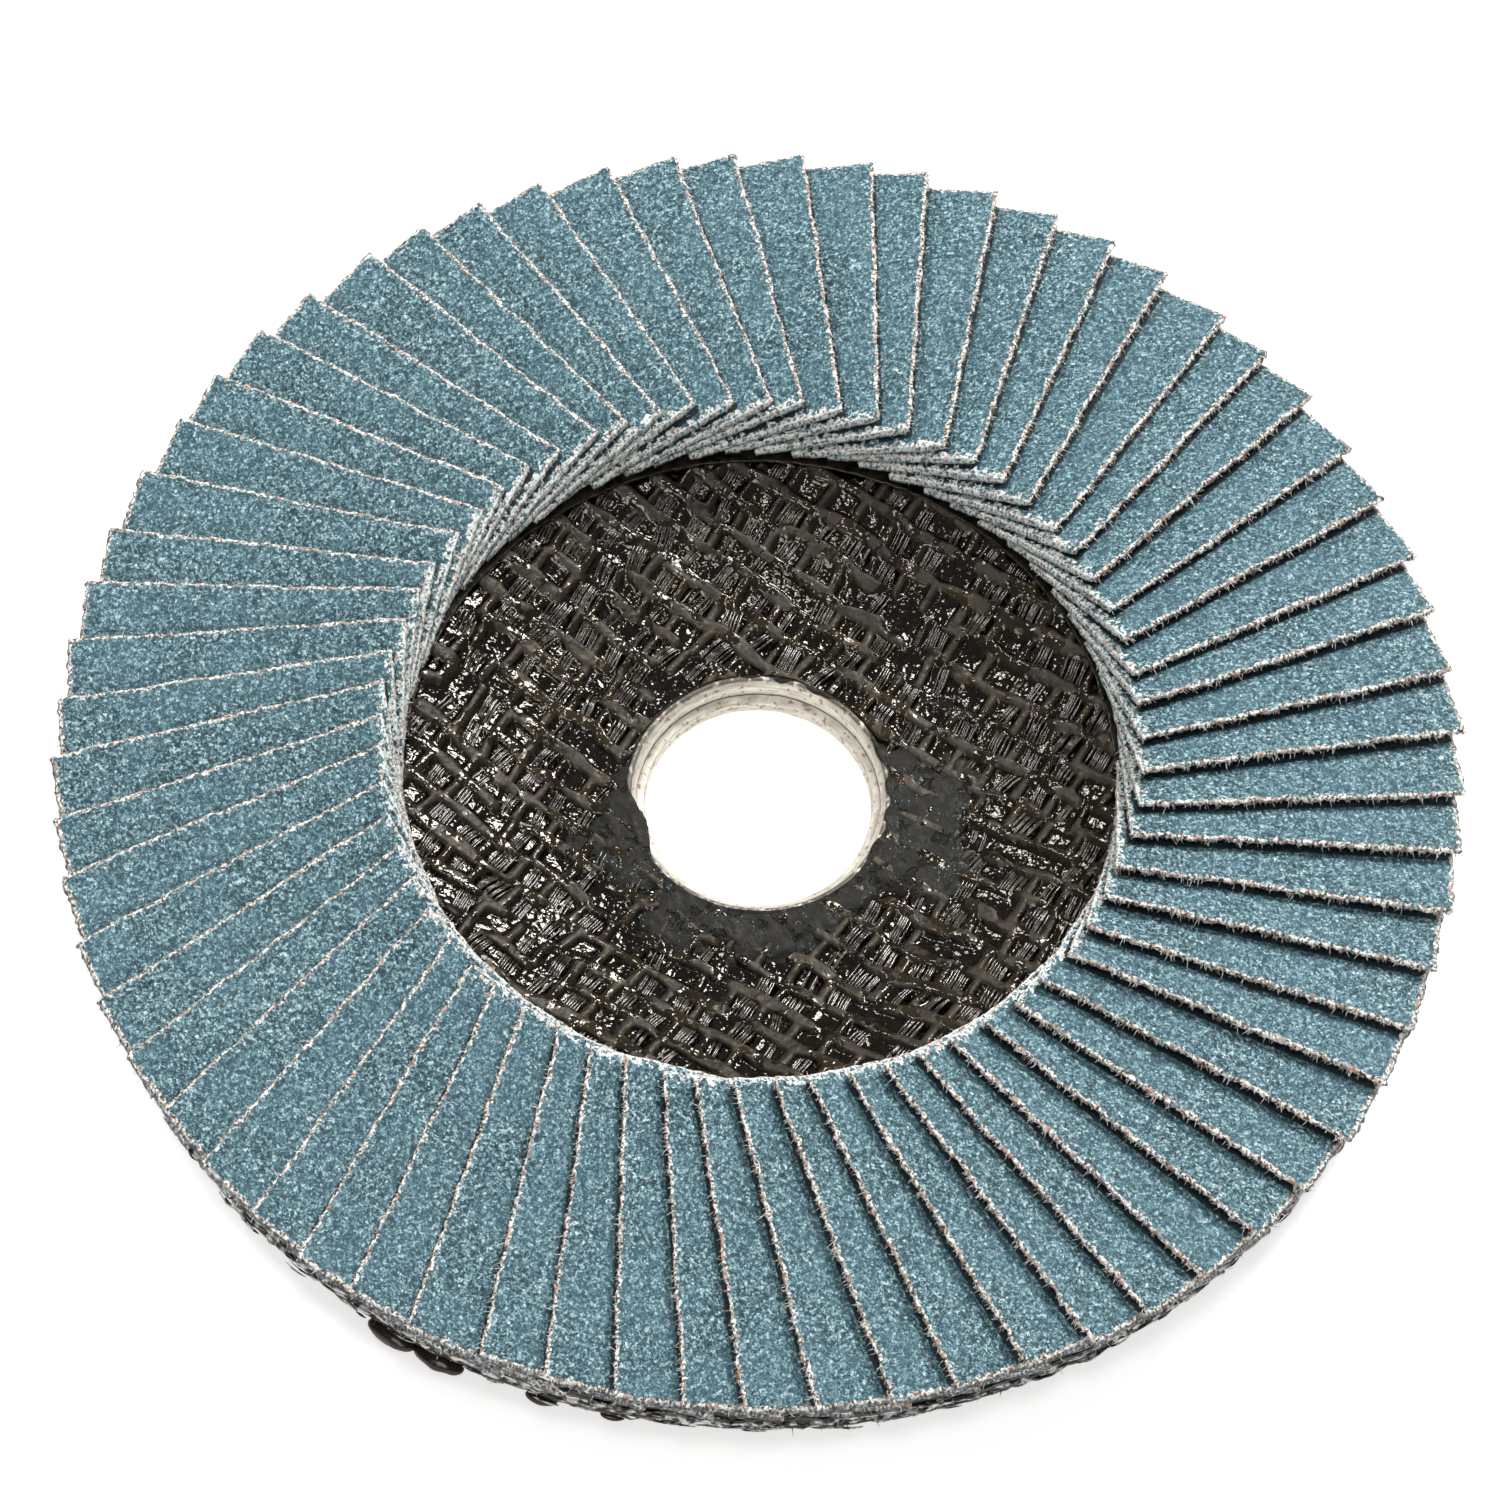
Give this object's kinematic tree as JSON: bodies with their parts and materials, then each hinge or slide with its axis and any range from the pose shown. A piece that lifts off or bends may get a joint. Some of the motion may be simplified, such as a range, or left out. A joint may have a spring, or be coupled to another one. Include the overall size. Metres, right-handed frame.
{
  "type": "flap disc",
  "caption": "Fan of overlapping zirconia cloth flaps on a dished glass-fibre backing plate with a steel bore ring, for shaping wood or metal with an angle grinder.",
  "frame": {"origin": "centre of the bore in the plane of the hub's back face, where the disc seats on the grinder", "axes": "+Z is the spindle axis, out of the abrasive side; +X and +Y lie in the plane of the hub's back, and the first flap's tip is 6.3 degrees from +X towards +Y"},
  "size_m": [0.1, 0.1, 0.0123],
  "materials": {
    "ring_steel": "stamped zinc-plated sheet, dull, with specks of rust in the bore",
    "resin_plate": "black phenolic resin over open glass-fibre mesh, glossy and rough",
    "glass_ply": "resin-soaked glass-fibre mesh",
    "resin_film": "cured resin smear, satin charcoal with grit specks",
    "adhesive": "dark cured epoxy adhesive",
    "flap_cloth": "teal-blue zirconia grain on cream polyester cloth, sparkling, with frayed cut edges"
  },
  "bodies": {
    "root": {"centre_ring": "ring_steel", "rear_glass_ply": "resin_plate", "inner_rear_glass_ply": "glass_ply", "hub_glass_ply": "glass_ply", "inner_front_glass_ply": "glass_ply", "front_glass_ply": "resin_plate", "hub_resin_film": "resin_film", "adhesive_bed": "adhesive", "adhesive_drops": "adhesive", "flaps_01_02": "flap_cloth", "flaps_03_04": "flap_cloth", "flaps_05_06": "flap_cloth", "flaps_07_08": "flap_cloth", "flaps_09_10": "flap_cloth", "flaps_11_12": "flap_cloth", "flaps_13_14": "flap_cloth", "flaps_15_16": "flap_cloth", "flaps_17_18": "flap_cloth", "flaps_19_20": "flap_cloth", "flaps_21_22": "flap_cloth", "flaps_23_24": "flap_cloth", "flaps_25_26": "flap_cloth", "flaps_27_28": "flap_cloth", "flaps_29_30": "flap_cloth", "flaps_31_32": "flap_cloth", "flaps_33_34": "flap_cloth", "flaps_35_36": "flap_cloth", "flaps_37_38": "flap_cloth", "flaps_39_40": "flap_cloth", "flaps_41_42": "flap_cloth", "flaps_43_44": "flap_cloth", "flaps_45_46": "flap_cloth", "flaps_47_48": "flap_cloth", "flaps_49_50": "flap_cloth", "flaps_51_52": "flap_cloth", "flaps_53_54": "flap_cloth", "flaps_55_56": "flap_cloth", "flaps_57_58": "flap_cloth", "flaps_59_60": "flap_cloth", "flaps_61_62": "flap_cloth", "flaps_63_64": "flap_cloth", "flap_65": "flap_cloth"}
  },
  "joints": []
}
